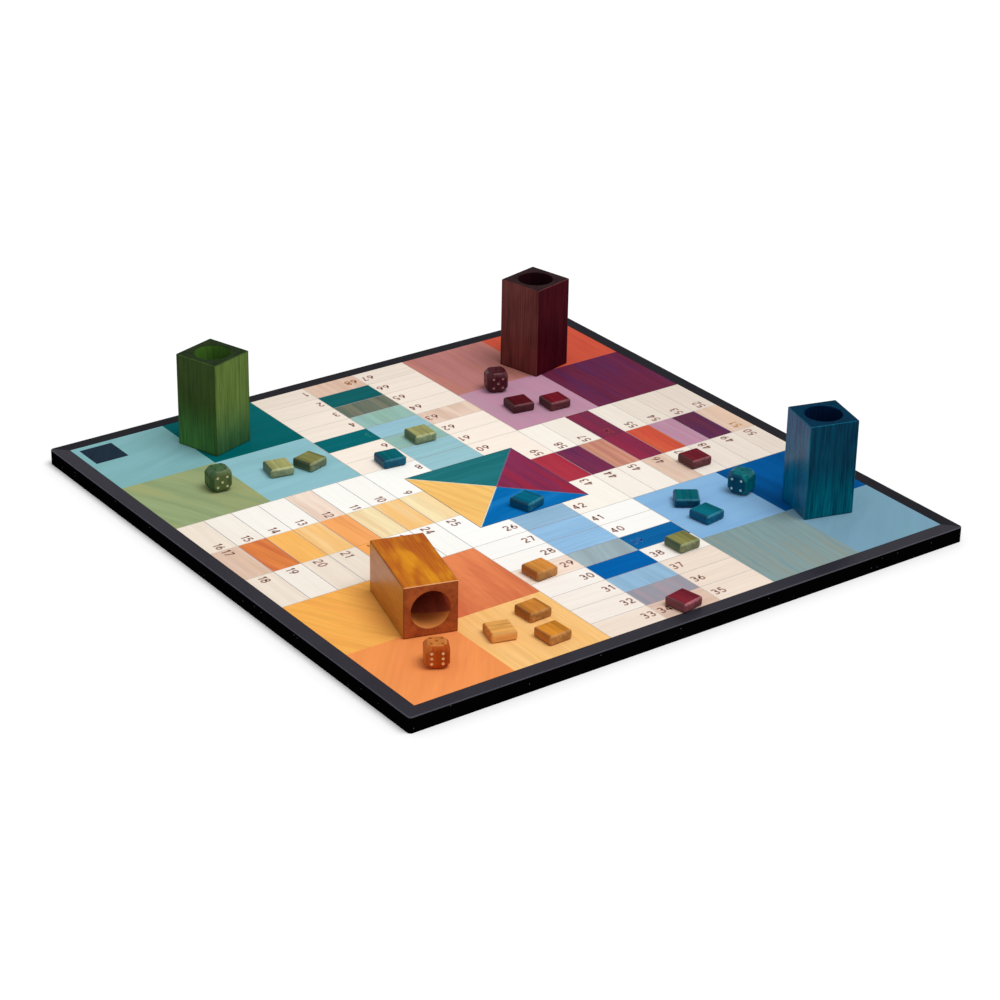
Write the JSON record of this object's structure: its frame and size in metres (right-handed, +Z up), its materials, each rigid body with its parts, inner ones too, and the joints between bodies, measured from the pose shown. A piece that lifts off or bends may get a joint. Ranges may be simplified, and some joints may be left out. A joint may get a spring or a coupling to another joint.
{
  "type": "parcheesi board",
  "caption": "Square parcheesi board inlaid in dyed veneers in a black frame, with square dice cups, dice and square counters set out on it.",
  "frame": {"origin": "middle of the board's underside", "axes": "+Z up; the blue arm of the cross runs along -Y, red along +X, green along +Y and yellow along -X"},
  "size_m": [0.4, 0.4, 0.0712],
  "materials": {
    "black_lacquer": "black satin lacquer over wood",
    "core_board": "raw sanded edge, hidden",
    "backing_veneer": "plain oiled veneer",
    "dark_plaque": "dark dyed veneer, satin",
    "ivory_maple": "pale maple veneer, satin lacquer",
    "blue_corridor_veneers": "dyed veneers in blues and greys, satin lacquer",
    "red_corridor_veneers": "dyed veneers in reds and purples, satin lacquer",
    "green_corridor_veneers": "dyed veneers in teals and greens, satin lacquer",
    "yellow_corridor_veneers": "dyed veneers in yellows and oranges, satin lacquer",
    "teal_veneer": "dark teal dyed veneer, satin lacquer",
    "sky_veneer": "sky blue dyed veneer, satin lacquer",
    "aqua_veneer": "pale aqua dyed veneer, satin lacquer",
    "olive_veneer": "light olive dyed veneer, satin lacquer",
    "deep_blue_veneer": "deep blue dyed veneer, satin lacquer",
    "cornflower_veneer": "cornflower dyed veneer, satin lacquer",
    "sage_grey_veneer": "grey green dyed veneer, satin lacquer",
    "salmon_veneer": "salmon brown dyed veneer, satin lacquer",
    "vermilion_veneer": "red orange dyed veneer, satin lacquer",
    "mauve_veneer": "mauve dyed veneer, satin lacquer",
    "plum_veneer": "deep plum dyed veneer, satin lacquer",
    "golden_veneer": "golden dyed veneer, satin lacquer",
    "terracotta_veneer": "terracotta dyed veneer, satin lacquer",
    "orange_veneer": "orange dyed veneer, satin lacquer",
    "straw_veneer": "light golden dyed veneer, satin lacquer",
    "magenta_veneer": "magenta purple dyed veneer, satin lacquer",
    "blue_stained_wood": "petrol blue stained hardwood, satin",
    "red_stained_wood": "wine red stained hardwood, satin",
    "green_stained_wood": "moss green stained hardwood, satin",
    "yellow_stained_wood": "amber stained hardwood, satin"
  },
  "bodies": {
    "board": {"frame_rail_front": "black_lacquer", "frame_rail_right": "black_lacquer", "frame_rail_back": "black_lacquer", "frame_rail_left": "black_lacquer", "core_panel": "core_board", "backing_veneer": "backing_veneer", "corner_plaque": "dark_plaque", "blue_corridor_cells": "blue_corridor_veneers", "blue_arm_cells": "ivory_maple", "blue_centre_triangle": "deep_blue_veneer", "blue_home_panel_1": "aqua_veneer", "blue_home_panel_2": "deep_blue_veneer", "blue_home_panel_3": "cornflower_veneer", "blue_home_panel_4": "sage_grey_veneer", "red_corridor_cells": "red_corridor_veneers", "red_arm_cells": "ivory_maple", "red_centre_triangle": "magenta_veneer", "red_home_panel_1": "vermilion_veneer", "red_home_panel_2": "salmon_veneer", "red_home_panel_3": "mauve_veneer", "red_home_panel_4": "plum_veneer", "green_corridor_cells": "green_corridor_veneers", "green_arm_cells": "ivory_maple", "green_centre_triangle": "teal_veneer", "green_home_panel_1": "aqua_veneer", "green_home_panel_2": "olive_veneer", "green_home_panel_3": "sky_veneer", "green_home_panel_4": "teal_veneer", "yellow_corridor_cells": "yellow_corridor_veneers", "yellow_arm_cells": "ivory_maple", "yellow_centre_triangle": "straw_veneer", "yellow_home_panel_1": "orange_veneer", "yellow_home_panel_2": "straw_veneer", "yellow_home_panel_3": "terracotta_veneer", "yellow_home_panel_4": "golden_veneer"},
    "blue_cup": {"blue_cup": "blue_stained_wood"},
    "blue_die": {"blue_die": "blue_stained_wood"},
    "blue_counter_1": {"blue_counter_1": "blue_stained_wood"},
    "blue_counter_2": {"blue_counter_2": "blue_stained_wood"},
    "blue_counter_3": {"blue_counter_3": "blue_stained_wood"},
    "blue_counter_4": {"blue_counter_4": "blue_stained_wood"},
    "red_cup": {"red_cup": "red_stained_wood"},
    "red_die": {"red_die": "red_stained_wood"},
    "red_counter_1": {"red_counter_1": "red_stained_wood"},
    "red_counter_2": {"red_counter_2": "red_stained_wood"},
    "red_counter_3": {"red_counter_3": "red_stained_wood"},
    "red_counter_4": {"red_counter_4": "red_stained_wood"},
    "green_cup": {"green_cup": "green_stained_wood"},
    "green_die": {"green_die": "green_stained_wood"},
    "green_counter_1": {"green_counter_1": "green_stained_wood"},
    "green_counter_2": {"green_counter_2": "green_stained_wood"},
    "green_counter_3": {"green_counter_3": "green_stained_wood"},
    "green_counter_4": {"green_counter_4": "green_stained_wood"},
    "yellow_cup": {"yellow_cup": "yellow_stained_wood"},
    "yellow_die": {"yellow_die": "yellow_stained_wood"},
    "yellow_counter_1": {"yellow_counter_1": "yellow_stained_wood"},
    "yellow_counter_2": {"yellow_counter_2": "yellow_stained_wood"},
    "yellow_counter_3": {"yellow_counter_3": "yellow_stained_wood"},
    "yellow_counter_4": {"yellow_counter_4": "yellow_stained_wood"}
  },
  "joints": [
    {"name": "blue_cup_lift", "type": "slide", "parent": "board", "child": "blue_cup", "axis": [0, 0, 1], "range_m": [0, 0.1]},
    {"name": "blue_die_lift", "type": "slide", "parent": "board", "child": "blue_die", "axis": [0, 0, 1], "range_m": [0, 0.08]},
    {"name": "blue_counter_1_lift", "type": "slide", "parent": "board", "child": "blue_counter_1", "axis": [0, 0, 1], "range_m": [0, 0.08]},
    {"name": "blue_counter_2_lift", "type": "slide", "parent": "board", "child": "blue_counter_2", "axis": [0, 0, 1], "range_m": [0, 0.08]},
    {"name": "blue_counter_3_lift", "type": "slide", "parent": "board", "child": "blue_counter_3", "axis": [0, 0, 1], "range_m": [0, 0.08]},
    {"name": "blue_counter_4_lift", "type": "slide", "parent": "board", "child": "blue_counter_4", "axis": [0, 0, 1], "range_m": [0, 0.08]},
    {"name": "red_cup_lift", "type": "slide", "parent": "board", "child": "red_cup", "axis": [0, 0, 1], "range_m": [0, 0.1]},
    {"name": "red_die_lift", "type": "slide", "parent": "board", "child": "red_die", "axis": [0, 0, 1], "range_m": [0, 0.08]},
    {"name": "red_counter_1_lift", "type": "slide", "parent": "board", "child": "red_counter_1", "axis": [0, 0, 1], "range_m": [0, 0.08]},
    {"name": "red_counter_2_lift", "type": "slide", "parent": "board", "child": "red_counter_2", "axis": [0, 0, 1], "range_m": [0, 0.08]},
    {"name": "red_counter_3_lift", "type": "slide", "parent": "board", "child": "red_counter_3", "axis": [0, 0, 1], "range_m": [0, 0.08]},
    {"name": "red_counter_4_lift", "type": "slide", "parent": "board", "child": "red_counter_4", "axis": [0, 0, 1], "range_m": [0, 0.08]},
    {"name": "green_cup_lift", "type": "slide", "parent": "board", "child": "green_cup", "axis": [0, 0, 1], "range_m": [0, 0.1]},
    {"name": "green_die_lift", "type": "slide", "parent": "board", "child": "green_die", "axis": [0, 0, 1], "range_m": [0, 0.08]},
    {"name": "green_counter_1_lift", "type": "slide", "parent": "board", "child": "green_counter_1", "axis": [0, 0, 1], "range_m": [0, 0.08]},
    {"name": "green_counter_2_lift", "type": "slide", "parent": "board", "child": "green_counter_2", "axis": [0, 0, 1], "range_m": [0, 0.08]},
    {"name": "green_counter_3_lift", "type": "slide", "parent": "board", "child": "green_counter_3", "axis": [0, 0, 1], "range_m": [0, 0.08]},
    {"name": "green_counter_4_lift", "type": "slide", "parent": "board", "child": "green_counter_4", "axis": [0, 0, 1], "range_m": [0, 0.08]},
    {"name": "yellow_cup_lift", "type": "slide", "parent": "board", "child": "yellow_cup", "axis": [0, 0, 1], "range_m": [0, 0.1]},
    {"name": "yellow_die_lift", "type": "slide", "parent": "board", "child": "yellow_die", "axis": [0, 0, 1], "range_m": [0, 0.08]},
    {"name": "yellow_counter_1_lift", "type": "slide", "parent": "board", "child": "yellow_counter_1", "axis": [0, 0, 1], "range_m": [0, 0.08]},
    {"name": "yellow_counter_2_lift", "type": "slide", "parent": "board", "child": "yellow_counter_2", "axis": [0, 0, 1], "range_m": [0, 0.08]},
    {"name": "yellow_counter_3_lift", "type": "slide", "parent": "board", "child": "yellow_counter_3", "axis": [0, 0, 1], "range_m": [0, 0.08]},
    {"name": "yellow_counter_4_lift", "type": "slide", "parent": "board", "child": "yellow_counter_4", "axis": [0, 0, 1], "range_m": [0, 0.08]}
  ]
}
